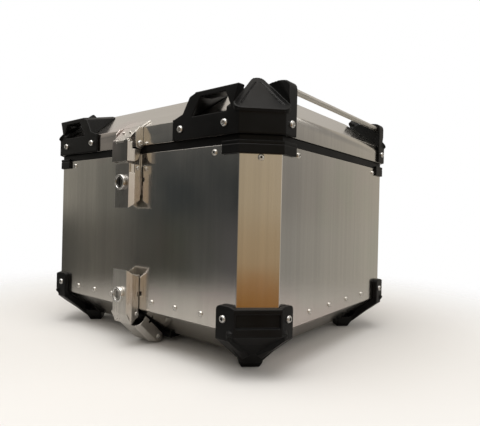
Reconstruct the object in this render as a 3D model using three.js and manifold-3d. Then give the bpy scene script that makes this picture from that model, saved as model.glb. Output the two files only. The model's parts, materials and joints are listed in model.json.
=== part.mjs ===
// Hard motorcycle top case in folded aluminium sheet, with a hinged lid, black corner guards,
// a toggle latch that holds the lid and a second one that holds the case to its rack.
// Millimetres, +Z up. X runs across the case, and the latches are on the -Y face.
// The origin is on the ground, in the middle between the four feet.

import * as THREE from 'three';
import { ConvexGeometry } from 'three/addons/geometries/ConvexGeometry.js';
import { mergeVertices } from 'three/addons/utils/BufferGeometryUtils.js';
import Module from 'manifold-3d';

const wasm = await Module();
wasm.setup();

// ---------------------------------------------------------------- driving dimensions

const caseWidth = 430;              // across the flat side walls
const caseDepth = 355.4;            // across the flat front and rear walls
const cornerLeg = 33.3;             // how far each corner is cut back along both walls
const sheet = 1.8;                  // wall and lid thickness
const gap = 0.3;                    // clearance between pieces that touch

const wallBase = 52;                // bottom edge of the upright walls, above the ground
const wallTop = wallBase + 204.3;
const panBottom = wallBase - 37.5;  // underside of the pan
const panInset = 46.5;              // how far the pan's sloping border runs inward

const lidOutset = 2;                // the lid stands this far outside the walls
const lidRim = wallBase + 214.2;    // lower edge of the lid
const lidBend = wallBase + 238.8;   // where the lid's upright border turns into its slope
const lidTop = wallBase + 280;
const lidInset = 54.3;              // how far the lid's slope runs inward

const guardProud = 5;               // face of the lid guards, outside the walls
const footProud = 6.1;              // face of the foot guards, outside the walls
const blockProud = 3;               // face of the small corner blocks, outside the walls

const hingeAxisY = caseDepth / 2 + 8;
const hingeAxisZ = lidRim - 0.2;

const halfWidth = caseWidth / 2;
const halfDepth = caseDepth / 2;
const frontY = -halfDepth;

// Unit vectors of the front right corner: out of it, and along its cut face.
const outward = new THREE.Vector3(1, -1, 0).normalize();
const along = new THREE.Vector3(1, 1, 0).normalize();
const up = new THREE.Vector3(0, 0, 1);
const cornerDistance = (halfWidth + halfDepth - cornerLeg) / Math.SQRT2;
const cornerMiddle = (halfWidth - halfDepth) / Math.SQRT2;

// ---------------------------------------------------------------- solids and booleans

function solidOf(geometry) {
  const bare = geometry.clone();
  bare.deleteAttribute('normal');
  bare.deleteAttribute('uv');
  const merged = mergeVertices(bare, 1e-4);
  return new wasm.Manifold(new wasm.Mesh({
    numProp: 3,
    vertProperties: new Float32Array(merged.attributes.position.array),
    triVerts: new Uint32Array(merged.index.array),
  }));
}

function geometryOf(solid) {
  const mesh = solid.getMesh();
  const geometry = new THREE.BufferGeometry();
  geometry.setAttribute('position', new THREE.BufferAttribute(new Float32Array(mesh.vertProperties), 3));
  geometry.setIndex(new THREE.BufferAttribute(new Uint32Array(mesh.triVerts), 1));
  geometry.computeVertexNormals();
  return geometry;
}

function join(...solids) {
  return solids.reduce((whole, solid) => whole.add(solid));
}

function hull(points) {
  return solidOf(new ConvexGeometry(points));
}

function point(x, y, z) {
  return new THREE.Vector3(x, y, z);
}

function box(x0, x1, y0, y1, z0, z1) {
  const geometry = new THREE.BoxGeometry(x1 - x0, y1 - y0, z1 - z0);
  geometry.translate((x0 + x1) / 2, (y0 + y1) / 2, (z0 + z1) / 2);
  return solidOf(geometry);
}

// Directions of an outline's two axes and of its extrusion, for a plate that is thick along one row axis.
const plateBases = {
  x: [point(0, 1, 0), point(0, 0, 1), point(1, 0, 0)],
  y: [point(1, 0, 0), point(0, 0, 1), point(0, -1, 0)],
  z: [point(1, 0, 0), point(0, 1, 0), point(0, 0, 1)],
};

// A plate of the given outline. For axis x the outline is in (y, z), for y in (x, z), for z in (x, y).
function plate(shape, axis, low, high) {
  const geometry = new THREE.ExtrudeGeometry(shape, { depth: high - low, bevelEnabled: false, curveSegments: 4 });
  const [a, b, c] = plateBases[axis];
  const start = axis === 'y' ? point(0, high, 0) : c.clone().multiplyScalar(low);
  geometry.applyMatrix4(new THREE.Matrix4().makeBasis(a, b, c).setPosition(start));
  return solidOf(geometry);
}

// An outline through corner points. A corner given as [a, b, r] is rounded over a length r on both sides.
function outline(corners) {
  const shape = new THREE.Shape();
  const count = corners.length;
  corners.forEach((corner, index) => {
    const here = new THREE.Vector2(corner[0], corner[1]);
    const reach = corner[2] ?? 0;
    const before = corners[(index + count - 1) % count];
    const after = corners[(index + 1) % count];
    const start = here.clone().add(new THREE.Vector2(before[0], before[1]).sub(here).setLength(reach));
    const end = here.clone().add(new THREE.Vector2(after[0], after[1]).sub(here).setLength(reach));
    if (index === 0) {
      shape.moveTo(start.x, start.y);
    } else {
      shape.lineTo(start.x, start.y);
    }
    if (reach > 0) {
      shape.quadraticCurveTo(here.x, here.y, end.x, end.y);
    }
  });
  shape.closePath();
  return shape;
}

// A round bar between two places along one row axis.
function bar(axis, radius, a, b, low, high, sides = 8) {
  const geometry = new THREE.CylinderGeometry(radius, radius, high - low, sides);
  const middle = (low + high) / 2;
  if (axis === 'x') {
    geometry.rotateZ(Math.PI / 2);
    geometry.translate(middle, a, b);
  } else if (axis === 'y') {
    geometry.translate(a, middle, b);
  } else {
    geometry.rotateX(Math.PI / 2);
    geometry.translate(a, b, middle);
  }
  return solidOf(geometry);
}

// The eight corners of the case's plan, moved inward by inset, at height z.
function ring(inset, z) {
  const x = halfWidth - inset;
  const y = halfDepth - inset;
  const leg = cornerLeg - inset * (2 - Math.SQRT2);
  return [
    [x, leg - y], [x, y - leg], [x - leg, y], [leg - x, y],
    [-x, y - leg], [-x, leg - y], [leg - x, -y], [x - leg, -y],
  ].map(([px, py]) => point(px, py, z));
}

function uprightForm(inset, low, high) {
  return hull([...ring(inset, low), ...ring(inset, high)]);
}

// The space inside the lid's outer skin, grown by offset on every face.
function lidForm(offset, low = lidRim - 1) {
  const slope = Math.atan2(lidTop - lidBend, lidInset);
  const turn = Math.tan(slope / 2);
  const bend = lidBend + offset * Math.tan((Math.PI / 2 - slope) / 2);
  return hull([
    ...ring(-lidOutset - offset, low),
    ...ring(-lidOutset - offset, bend),
    ...ring(-lidOutset + lidInset - offset * turn, lidTop + offset),
  ]);
}

// The space inside the pan's outer skin, grown by offset on every face, up to height high.
function panForm(offset, high = wallBase) {
  const slope = Math.atan2(wallBase - panBottom, panInset);
  const turn = Math.tan(slope / 2);
  const bend = wallBase - offset * Math.tan((Math.PI / 2 - slope) / 2);
  return hull([
    ...ring(panInset - offset * turn, panBottom - offset),
    ...ring(-offset, bend),
    ...ring(-offset, high),
  ]);
}

// The same piece at the other side: flipX puts it on the left, flipY at the rear.
function mirrored(solid, flipX, flipY) {
  const geometry = geometryOf(solid);
  geometry.scale(flipX ? -1 : 1, flipY ? -1 : 1, 1);
  if (flipX !== flipY) {
    const index = geometry.index.array;
    for (let i = 0; i < index.length; i += 3) {
      [index[i + 1], index[i + 2]] = [index[i + 2], index[i + 1]];
    }
  }
  return solidOf(geometry);
}

const corners = [
  { name: 'front_right', flipX: false, flipY: false },
  { name: 'front_left', flipX: true, flipY: false },
  { name: 'rear_right', flipX: false, flipY: true },
  { name: 'rear_left', flipX: true, flipY: true },
];

// ---------------------------------------------------------------- fasteners

// A headed fastener along +Z: its shank runs down from the seat at z = 0.
function fastener(headRadius, headHeight, shankRadius, shankLength, sides) {
  const profile = [
    [0, -shankLength], [shankRadius, -shankLength], [shankRadius, 0],
    [headRadius, 0], [headRadius * 0.7, headHeight], [0, headHeight],
  ].map(([r, z]) => new THREE.Vector2(r, z));
  const geometry = new THREE.LatheGeometry(profile, sides);
  geometry.rotateX(Math.PI / 2);
  return geometry;
}

// Seats of fasteners: where each one sits, and the way its head faces.
function seat(x, y, z, facing) {
  return { at: point(x, y, z), facing };
}

function placed(geometry, { at, facing }) {
  const turn = new THREE.Quaternion().setFromUnitVectors(up, facing);
  const moved = geometry.clone().applyQuaternion(turn).translate(at.x, at.y, at.z);
  return solidOf(moved);
}

function fasteners(seats, kind) {
  const geometry = fastener(kind.head, kind.height, kind.shank, kind.length, kind.sides);
  return join(...seats.map((place) => placed(geometry, place)));
}

function holes(seats, kind) {
  const geometry = new THREE.CylinderGeometry(kind.shank + 2 * gap, kind.shank + 2 * gap, kind.length + 4, 6);
  geometry.rotateX(Math.PI / 2);
  geometry.translate(0, 0, -kind.length / 2);
  return join(...seats.map((place) => placed(geometry, place)));
}

const panRivet = { head: 3, height: 1.4, shank: 1.4, length: 3.5, sides: 6 };
const trimRivet = { head: 3.2, height: 1.4, shank: 1.4, length: 4, sides: 6 };
const latchRivet = { head: 2.6, height: 1.2, shank: 1.2, length: 3.8, sides: 6 };
const guardScrew = { head: 4.2, height: 2.4, shank: 2, length: 8, sides: 8 };
const footScrew = { ...guardScrew, length: 12 };

const facingFront = point(0, -1, 0);
const facingRear = point(0, 1, 0);
const facingRight = point(1, 0, 0);
const facingLeft = point(-1, 0, 0);

function inFrontRightQuarter(seats) {
  return seats.filter(({ at }) => at.x > 0 && at.y < 0);
}

// Repeats seats given for the front right quarter in all four quarters.
function inAllQuarters(seats) {
  return corners.flatMap(({ flipX, flipY }) => seats.map(({ at, facing }) => {
    const sx = flipX ? -1 : 1;
    const sy = flipY ? -1 : 1;
    return { at: point(at.x * sx, at.y * sy, at.z), facing: point(facing.x * sx, facing.y * sy, facing.z) };
  }));
}

const panRivetHeight = wallBase + 12.4;
const frontRivetPitch = 43.2;
const sideRivetPitch = 51.7;
const panRivetSeats = [
  ...[-3, -2, -1, 1, 2, 3].flatMap((step) => [
    seat(step * frontRivetPitch, frontY - gap, panRivetHeight, facingFront),
    seat(step * frontRivetPitch, halfDepth + gap, panRivetHeight, facingRear),
  ]),
  ...[-1.5, -0.5, 0.5, 1.5].flatMap((step) => [
    seat(halfWidth + gap, step * sideRivetPitch, panRivetHeight, facingRight),
    seat(-halfWidth - gap, step * sideRivetPitch, panRivetHeight, facingLeft),
  ]),
];

const cornerPoint = outward.clone().multiplyScalar(cornerDistance + gap)
  .addScaledVector(along, cornerMiddle);
const trimRivetSeats = inAllQuarters([
  seat(146.2, frontY - gap, wallBase + 196.5, facingFront),
  seat(halfWidth + gap, -111.3, wallBase + 196.2, facingRight),
  seat(cornerPoint.x, cornerPoint.y, wallBase + 189.5, outward),
]);

const lidScrewHeight = wallBase + 227;
const lidScrewSeats = inAllQuarters([
  seat(94.7, frontY - guardProud - gap, lidScrewHeight, facingFront),
  seat(164, frontY - guardProud - gap, lidScrewHeight, facingFront),
  seat(halfWidth + guardProud + gap, -135.5, lidScrewHeight, facingRight),
]);

const footScrewHeight = wallBase + 14.7;
const footScrewSeats = inAllQuarters([
  seat(169, frontY - footProud, footScrewHeight, facingFront),
  seat(halfWidth + footProud, -134.6, footScrewHeight, facingRight),
]);

// ---------------------------------------------------------------- walls, pan, trim, lid, seal

function bodyShell() {
  return uprightForm(0, wallBase, wallTop)
    .subtract(uprightForm(sheet, wallBase - 1, wallTop + 1))
    .subtract(holes(panRivetSeats, panRivet))
    .subtract(holes(trimRivetSeats, trimRivet))
    .subtract(holes(footScrewSeats, footScrew))
    .subtract(holes(hingeBodySeats, latchRivet))
    .subtract(holes(latchBaseSeats, latchRivet));
}

// The pan's sloping border meets the walls' lower edge, and its flange stands up inside them.
function bottomPan() {
  const flangeTop = wallBase + 22;
  const slopeTop = wallBase - gap;
  const sloping = panForm(0).intersect(uprightForm(0, 0, slopeTop));
  const flange = uprightForm(sheet + gap, slopeTop - 6, flangeTop).intersect(panForm(0, flangeTop));
  const inside = join(
    panForm(-sheet, flangeTop + 1),
    uprightForm(2 * sheet + gap, wallBase - 1.2, flangeTop + 1),
  ).intersect(uprightForm(2 * sheet + gap, 0, flangeTop + 1));
  return join(sloping, flange)
    .subtract(inside)
    .add(fasteners(panRivetSeats, panRivet))
    .subtract(holes(footScrewSeats, footScrew));
}

function rimTrim() {
  const legBottom = wallTop - 19;
  const top = lidRim - 0.6;
  const head = uprightForm(0, wallTop + gap, top).subtract(uprightForm(6.5, wallTop, top + 1));
  const leg = uprightForm(sheet + gap, legBottom, wallTop + 1)
    .subtract(uprightForm(sheet + gap + 2, legBottom - 1, wallTop + 2));
  return join(head, leg, fasteners(trimRivetSeats, trimRivet));
}

function lidShell() {
  return lidForm(0, lidRim)
    .subtract(lidForm(-sheet, lidRim - 1))
    .subtract(holes(lidScrewSeats, guardScrew))
    .subtract(holes(hingeLidSeats, latchRivet))
    .subtract(holes(bracketSkirtSeats, latchRivet));
}

function lidSeal() {
  const inner = sheet - lidOutset + gap;
  return uprightForm(inner, lidRim + 0.2, lidRim + 7)
    .subtract(uprightForm(inner + 6, lidRim - 1, lidRim + 8));
}

// ---------------------------------------------------------------- corner guards

// The outline of a rounded triangle: base along X, rising along Y.
function roundedTriangle(halfBase, height, radius) {
  const sideAngle = Math.atan2(halfBase - radius, height - 2 * radius);
  const shape = new THREE.Shape();
  shape.absarc(halfBase - radius, radius, radius, -Math.PI / 2, sideAngle);
  shape.absarc(0, height - radius, radius, sideAngle, Math.PI - sideAngle);
  shape.absarc(radius - halfBase, radius, radius, Math.PI - sideAngle, 1.5 * Math.PI);
  shape.closePath();
  return shape;
}

const grooveDepth = 1.4;
const grooveWidth = 1.8;

// The plate on a lid guard, with its face at z = 0 and a groove along each slanting side.
function capPlate() {
  return groovedPlate(roundedTriangle(31, 68, 8.5), 7, [23.5, 9], [2.5, 57.5]);
}

// The bumper on a foot guard: wider than the cap, and blunter at its tip.
function bumperPlate() {
  const shape = outline([
    [-33, 0, 6], [33, 0, 6], [33, 13, 4], [17.2, 51], [13.8, 58.8], [8.6, 68], [3, 72.6], [-3, 72.6],
    [-8.6, 68], [-13.8, 58.8], [-17.2, 51], [-33, 13, 4],
  ]);
  return groovedPlate(shape, 8, [25, 9], [7, 51]);
}

// The grooves run between two places, given for the right-hand one.
function groovedPlate(shape, thickness, [x0, y0], [x1, y1]) {
  const grooves = [-1, 1].map((side) => {
    const groove = new THREE.BoxGeometry(grooveWidth, Math.hypot(x1 - x0, y1 - y0), 2 * grooveDepth);
    groove.rotateZ(side * Math.atan2(x0 - x1, y1 - y0));
    groove.translate(side * (x0 + x1) / 2, (y0 + y1) / 2, 0);
    return solidOf(groove);
  });
  return plate(shape, 'z', -thickness, 0).subtract(join(...grooves));
}

// Stands a flat plate on the corner: its base line lies out from the cut face at height z,
// and it rises (or falls) inward at the given angle.
function onCorner(solid, out, z, angle) {
  const rise = outward.clone().multiplyScalar(-Math.cos(angle)).addScaledVector(up, Math.sin(angle));
  const across = along.clone().multiplyScalar(angle > 0 ? 1 : -1);
  const face = new THREE.Vector3().crossVectors(across, rise);
  const origin = outward.clone().multiplyScalar(cornerDistance + out)
    .addScaledVector(along, cornerMiddle).addScaledVector(up, z);
  const geometry = geometryOf(solid);
  geometry.applyMatrix4(new THREE.Matrix4().makeBasis(across, rise, face).setPosition(origin));
  return solidOf(geometry);
}

// Four points of a level rectangle at the corner, centred along the cut face and reaching from
// nearOut to farOut, both measured outward from that face.
function cornerRectangle(half, nearOut, farOut, z) {
  return [-half, half].flatMap((t) => [nearOut, farOut].map((out) => outward.clone()
    .multiplyScalar(cornerDistance + out)
    .addScaledVector(along, cornerMiddle + t)
    .setZ(z)));
}

const railX = halfWidth - 2;
const railZ = wallBase + 268;
const railRadius = 3.5;
const finInnerY = -124.8;

function lidGuard() {
  const face = frontY - guardProud;
  const side = halfWidth + guardProud;
  const armEnd = 81;
  const skin = guardProud - lidOutset;
  const bandTop = lidBend + 1;
  const guardFootprint = plate(outline([
    [armEnd, -230], [250, -230], [250, finInnerY], [150, finInnerY], [150, -150], [armEnd, -150],
  ]), 'z', lidRim - 0.1, lidTop + 30);
  const band = lidForm(skin, lidRim - 0.1).intersect(box(60, 240, -220, -100, lidRim - 0.1, bandTop));
  const cornerCover = lidForm(6, lidRim - 0.1)
    .intersect(uprightForm(-guardProud, 0, 400))
    .intersect(plate(outline([[166, -230], [250, -230], [250, -128], [192, -128], [166, -154]]), 'z', 200, 400));
  // The loop handle: a shoulder, a slanting leg that runs back over the lid's slope, and a bar.
  const shoulder = plate(outline([
    [armEnd, lidBend - 4], [112, lidBend - 4], [112, lidBend + 5], [98, lidBend + 5.7], [armEnd, lidBend],
  ]), 'y', face, face + 6);
  const legFront = [
    [97, lidBend - 2], [98, lidBend + 5.7], [109.3, lidBend + 24.3], [120.6, lidBend + 28.3],
    [127, lidBend + 22.7], [116.5, lidBend + 17], [111, lidBend - 2],
  ];
  const legRise = 12.5;
  const leg = hull([
    ...legFront.map(([x, z]) => point(x, face, z)),
    ...legFront.map(([x, z]) => point(x, -129, z + legRise)),
  ]);
  const barBack = face + 22;
  const barLow = lidBend + 22.4;
  const barHigh = lidBend + 28.3;
  const handleBar = hull([118, 190].flatMap((x) => [
    point(x, face, barLow), point(x, face, barHigh), point(x, barBack, barLow + 3), point(x, barBack, barHigh + 5),
  ]));
  const handleEnd = hull([
    point(176, face, lidBend - 2), point(190, face, lidBend - 2),
    point(164, face, lidBend + 24), point(190, face, lidBend + 24),
    point(178, -150, lidBend + 10), point(194, -150, lidBend + 10),
    point(169, -150, lidBend + 32), point(194, -150, lidBend + 32),
  ]);
  const fin = plate(outline([
    [side, lidBend - 8], [side, lidBend + 35.7, 7], [187.5, lidBend + 39.7, 3], [177, lidBend + 36.7, 2],
    [172, lidBend - 8],
  ]), 'y', -142, finInnerY);
  const cap = onCorner(capPlate(), 8, lidBend + 1.2, Math.PI / 4);
  const capRoom = onCorner(plate(roundedTriangle(31, 68, 8.5), 'z', -3, 60), 8, lidBend + 1.2, Math.PI / 4);
  const capCore = onCorner(plate(roundedTriangle(25, 58, 6), 'z', -30, -5), 5, lidBend + 3.2, Math.PI / 4);
  const upper = join(cornerCover, shoulder, leg, handleBar, handleEnd, fin)
    .intersect(uprightForm(-guardProud, 0, 400))
    .subtract(capRoom);
  const railSocket = bar('y', railRadius + gap, railX, railZ, finInnerY - 9, finInnerY + 5);
  return join(band.intersect(guardFootprint), upper, cap, capCore.intersect(uprightForm(-guardProud - 3, 0, 400)))
    .subtract(lidForm(gap, lidRim - 5))
    .subtract(railSocket)
    .subtract(holes(lidScrewSeats, guardScrew));
}

function wallBlock() {
  const low = wallBase + 193.5;
  const high = wallBase + 207.5;
  const armEnd = 159;
  const sideEnd = -120.4;
  const groove = uprightForm(-blockProud - 2, low + 9.6, low + 10.8)
    .subtract(uprightForm(-blockProud + 0.9, 0, 400));
  return uprightForm(-blockProud, low, high)
    .subtract(uprightForm(-gap, low - 1, high + 1))
    .subtract(groove)
    .intersect(plate(outline([[armEnd, -230], [250, -230], [250, sideEnd], [armEnd, sideEnd]]), 'z', 0, 400));
}

function footGuard() {
  const earTop = wallBase + 28.6;
  const cornerTop = wallBase + 26.5;
  const earEndX = 158.6;
  const earEndY = -125;
  const skirtDepth = 10;
  const skirtReach = 31;
  const low = wallBase - 3;
  const sideFace = frontY - footProud - 1;
  const frontEar = plate(outline([
    [earEndX, low], [250, low], [250, cornerTop], [halfWidth - cornerLeg + 2, cornerTop, 2],
    [halfWidth - cornerLeg - 3, earTop, 3], [earEndX, earTop, 6],
  ]), 'y', sideFace, frontY + cornerLeg);
  const sideEar = plate(outline([
    [-250, low], [earEndY, low], [earEndY, earTop, 6], [cornerLeg - halfDepth + 3, earTop, 3],
    [cornerLeg - halfDepth - 2, cornerTop, 2], [-250, cornerTop],
  ]), 'x', halfWidth - cornerLeg, halfWidth + footProud + 1);
  const band = uprightForm(-footProud, low, earTop).intersect(join(frontEar, sideEar));
  const window = onCorner(box(-24.5, 24.5, 6, 21.5, -4, 5), footProud, wallBase, Math.PI / 2);
  // Under the ears the guard follows the pan's slope for a short way, and the bumper stands on it.
  const wings = panForm(footProud - 0.5, wallBase - 1).intersect(plate(outline([
    [earEndX + 6, -230], [250, -230], [250, earEndY - 6], [halfWidth - 22, earEndY - 6], [earEndX + 6, 22 - halfDepth],
  ]), 'z', 20, wallBase));
  const skirts = panForm(skirtDepth, wallBase - 1).intersect(uprightForm(-footProud, 0, wallBase)).intersect(join(
    box(earEndX, 178, -230, skirtReach - halfDepth, 5, wallBase),
    box(halfWidth - skirtReach, 250, -142, earEndY, 5, wallBase),
  ));
  const drop = -45.5 * Math.PI / 180;
  const bumper = onCorner(bumperPlate(), footProud, wallBase + 1, drop);
  const bumperCore = onCorner(plate(roundedTriangle(26, 56, 6), 'z', -24, -6), footProud - 2, wallBase - 3, drop);
  const pad = hull([
    ...cornerRectangle(10.5, -61, -44, 0),
    ...cornerRectangle(14, -62, -43, 5),
    ...cornerRectangle(14, -62, -34, 16),
  ]);
  return join(band, wings, skirts, bumper, bumperCore, pad)
    .subtract(window)
    .subtract(panForm(gap, wallBase))
    .subtract(uprightForm(-gap, wallBase - 1, 400))
    .add(fasteners(inFrontRightQuarter(footScrewSeats), footScrew));
}

// ---------------------------------------------------------------- latches

const latchFace = frontY - 18.3;    // front of both levers
const leverHalf = 18;               // half the levers' width
const leverFlat = 14.3;             // half the width of their flat front
const latchSheet = 1.6;

// A U-shaped channel that runs along Z with its closed, bevelled front towards -Y.
function channel(half, flat, front, bevelDepth, back, thickness, low, high) {
  const inner = thickness;
  return plate(outline([
    [-half, back], [-half, front + bevelDepth], [-flat, front], [flat, front], [half, front + bevelDepth],
    [half, back], [half - inner, back], [half - inner, front + bevelDepth + inner * 0.4],
    [flat - inner * 0.6, front + inner], [inner * 0.6 - flat, front + inner],
    [inner - half, front + bevelDepth + inner * 0.4], [inner - half, back],
  ]), 'z', low, high);
}

function disc(y, z, radius, from, to, count) {
  return Array.from({ length: count + 1 }, (_, index) => {
    const angle = THREE.MathUtils.degToRad(from + (to - from) * index / count);
    return [y + radius * Math.cos(angle), z + radius * Math.sin(angle)];
  });
}

const upperPivot = { y: frontY - 6.8, z: wallBase + 184 };
const lowerPivot = { y: frontY - 3.7, z: wallBase - 5.8 };
const upperLockZ = wallBase + 165.8;
const lowerLockZ = wallBase + 19.7;
const upperLeverBack = frontY - 2.3;
const lowerLeverBack = frontY - 0.9;

const lockBore = 8.2;
const baseFace = frontY - gap - 1.8;
const upperBaseSeats = [-8, 8].map((x) => seat(x, baseFace, wallBase + 154, facingFront));
const lowerBaseSeats = [-8, 8].map((x) => seat(x, baseFace, wallBase + 38, facingFront));
const latchBaseSeats = [...upperBaseSeats, ...lowerBaseSeats];

function upperLever() {
  const tipZ = wallBase + 131.5;
  const topZ = wallBase + 190;
  const bevelTop = wallBase + 178;
  const body = channel(leverHalf, leverFlat, latchFace, 6.8, upperLeverBack, latchSheet, tipZ - 1, topZ);
  const sideView = plate(outline([
    [latchFace - 1, tipZ], [latchFace + 6.8, tipZ + 6], [upperLeverBack + 1, tipZ + 12],
    [upperLeverBack + 1, upperPivot.z - 4],
    ...disc(upperPivot.y, upperPivot.z, 5, 0, 90, 4),
    [latchFace + 5.5, upperPivot.z + 5], [latchFace + 1.7, topZ + 1], [latchFace - 1, topZ + 1],
  ]), 'x', -30, 30);
  const shoulders = join(
    box(leverFlat + 0.2, 30, latchFace - 5, latchFace + 6.8, bevelTop, topZ + 5),
    box(-30, -leverFlat - 0.2, latchFace - 5, latchFace + 6.8, bevelTop, topZ + 5),
  );
  return body.intersect(sideView)
    .subtract(shoulders)
    .subtract(bar('y', lockBore, 0, upperLockZ, latchFace - 5, latchFace + 5, 16))
    .subtract(bar('x', 1.9, upperPivot.y, upperPivot.z, -30, 30))
    .subtract(box(-30, 30, upperLeverBack - 2.2, upperLeverBack + 3, upperPivot.z - 17, upperPivot.z - 11));
}

function lowerLever() {
  const tipZ = wallBase + 53;
  const nose = { y: latchFace + 6.5, z: wallBase - 19 };
  const body = channel(leverHalf, leverFlat, latchFace, 6.8, lowerLeverBack, latchSheet, nose.z - 1, tipZ + 1);
  const sideView = plate(outline([
    [latchFace - 1, tipZ], [latchFace - 1, lowerPivot.z], [latchFace, lowerPivot.z], [nose.y, nose.z],
    [nose.y + 3, nose.z + 2],
    ...disc(lowerPivot.y, lowerPivot.z, 6, 270, 360, 4),
    [lowerPivot.y + 6, lowerPivot.z + 2], [lowerLeverBack + 1, wallBase + 1],
    [lowerLeverBack + 1, tipZ - 12], [latchFace + 6.8, tipZ - 6],
  ].reverse()), 'x', -30, 30);
  const facet = plate(outline([
    [latchFace, lowerPivot.z + 2], [latchFace, lowerPivot.z], [nose.y, nose.z], [nose.y + 1.6, nose.z + 1],
    [latchFace + 1.6, lowerPivot.z + 1],
  ].reverse()), 'x', -16.8, 16.8);
  return join(body.intersect(sideView), facet)
    .subtract(bar('y', lockBore, 0, lowerLockZ, latchFace - 5, latchFace + 5, 16))
    .subtract(bar('x', 1.9, lowerPivot.y, lowerPivot.z, -30, 30))
    .subtract(box(-30, 30, lowerLeverBack - 3, lowerLeverBack + 3, lowerLockZ - 3, lowerLockZ + 3));
}

// A back plate on the wall with two ears that hold the lever's pivot between its sides.
function latchBase(pivot, low, high, earLow, earHigh) {
  const wallSide = frontY - gap;
  const back = box(-15, 15, wallSide - 1.8, wallSide, low, high);
  const ears = plate(outline([
    [wallSide - 1, earLow], [wallSide - 1, earHigh], ...disc(pivot.y, pivot.z, 4.2, 90, 330, 6),
  ].reverse()), 'x', -13.6, 13.6).subtract(box(-11.8, 11.8, -260, wallSide - 1.8, 0, 400));
  return join(back, ears).subtract(bar('x', 1.9, pivot.y, pivot.z, -30, 30));
}

function upperBase() {
  const catchZ = upperPivot.z + 18;
  const hook = plate(outline([
    [frontY - 2, catchZ - 3], [frontY - 2, catchZ + 6], [frontY - 8.5, catchZ + 6], [frontY - 12, catchZ + 1.5],
    [frontY - 10.5, catchZ - 2.5], [frontY - 9, catchZ - 2.5], [frontY - 8.5, catchZ + 2], [frontY - 4, catchZ + 2],
  ].reverse()), 'x', -9, 9);
  return join(
    latchBase(upperPivot, wallBase + 150, wallTop - 1, upperPivot.z - 6, upperPivot.z + 6),
    hook,
    fasteners(upperBaseSeats, latchRivet),
  );
}

function lowerBase() {
  return join(
    latchBase(lowerPivot, wallBase + 0.5, wallBase + 44, wallBase + 0.7, wallBase + 12),
    fasteners(lowerBaseSeats, latchRivet),
  );
}

function pivotPin(pivot, half) {
  return bar('x', 1.6, pivot.y, pivot.z, -half, half)
    .add(bar('x', 2.7, pivot.y, pivot.z, half - 0.1, half + 1.2, 10))
    .add(bar('x', 2.7, pivot.y, pivot.z, -half - 1.2, 0.1 - half, 10));
}

// A lock's outer barrel: a flange on the lever's front and a sleeve through it.
function lockBarrel(z) {
  const profile = [
    [7.3, -4.6], [9.4, -4.6], [10.4, -3.6], [10.4, -gap], [7.9, -gap], [7.9, 11.5], [7.3, 11.5],
  ].map(([r, y]) => new THREE.Vector2(r, y));
  const geometry = new THREE.LatheGeometry([...profile, profile[0]], 20);
  geometry.translate(0, latchFace, z);
  return solidOf(geometry);
}

// The turning plug, with its key slot at the front and a squared tail for the cam.
function lockPlug(z) {
  const plug = bar('y', 7, 0, z, latchFace - 4.2, latchFace + 11.8, 20);
  const slot = box(-0.9, 0.9, latchFace - 6, latchFace + 2, z - 4.5, z + 4.5);
  const tail = box(-2, 2, latchFace + 11.7, latchFace + 13.6, z - 2, z + 2);
  return plug.subtract(slot).add(tail);
}

function lockCam(z) {
  return plate(outline([
    [-4.5, z - 11, 2], [4.5, z - 11, 2], [5, z + 5, 2], [-5, z + 5, 2],
  ]), 'y', latchFace + 12.1, latchFace + 13.6)
    .subtract(box(-2.3, 2.3, latchFace + 10, latchFace + 15, z - 2.3, z + 2.3));
}

// The lid bracket: a back plate that turns over the lid's bend, a sloping front cover that carries the
// hood's hinge, and two ears joined by a cross bolt.
const hoodPivot = { y: frontY - 18.8, z: wallBase + 218.5 };
const hoodFace = frontY - 22.6;
const bracketBolt = { y: frontY - 7.4, z: wallBase + 216 };
const bracketHalf = 22;
const lidSlope = Math.atan2(lidTop - lidBend, lidInset);
const lidFace = frontY - lidOutset - gap;
const bracketSkirtSeats = [-12, 12].map((x) => seat(x, lidFace - 1.7, lidRim + 6, facingFront));
const coverNormal = point(0, -1, 1.15).normalize();
const bracketCoverSeats = [-7, 7].map((x) => seat(x, frontY - 11.9, wallBase + 231.5, coverNormal));

function lidBracket() {
  const back = box(-bracketHalf, bracketHalf, lidFace - 1.7, lidFace, lidRim + 1, lidBend);
  const overBend = lidForm(gap + 1.7, lidRim + 1).subtract(lidForm(gap, lidRim))
    .intersect(box(-bracketHalf, bracketHalf, frontY - 9, frontY + 9, lidBend - 6, lidTop));
  const cover = plate(outline([
    [hoodPivot.y - 1.6, hoodPivot.z + 2.6], [hoodPivot.y - 0.2, hoodPivot.z + 4.4],
    [frontY - 4.6, lidBend + 0.4], [frontY - 3, lidBend - 2], [hoodPivot.y + 1.6, hoodPivot.z + 2.6],
  ].reverse()), 'x', -16, 16).subtract(join(
    bar('x', 4.4, hoodPivot.y, hoodPivot.z, 7.7, 20, 12),
    bar('x', 4.4, hoodPivot.y, hoodPivot.z, -20, -7.7, 12),
  ));
  const knuckle = bar('x', 3.8, hoodPivot.y, hoodPivot.z, -7.7, 7.7, 12);
  const ears = plate(outline([
    [lidFace - 0.5, bracketBolt.z], ...disc(bracketBolt.y, bracketBolt.z, 6.6, 345, 180, 8).slice(0, 9),
    [bracketBolt.y - 6.6, lidBend - 8], [frontY - 9, lidBend - 1], [lidFace - 0.5, lidBend + 1],
  ].reverse()), 'x', -bracketHalf, bracketHalf)
    .subtract(box(1.6 - bracketHalf, bracketHalf - 1.6, -260, frontY + 10, 0, 400));
  return join(back, overBend, cover, knuckle, ears)
    .subtract(lidForm(gap - 0.05, lidRim))
    .subtract(bar('x', 1.9, hoodPivot.y, hoodPivot.z, -30, 30))
    .subtract(bar('x', 2.3, bracketBolt.y, bracketBolt.z, -30, 30))
    .add(fasteners(bracketCoverSeats, { ...latchRivet, length: 1 }))
    .add(fasteners(bracketSkirtSeats, latchRivet));
}

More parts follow.
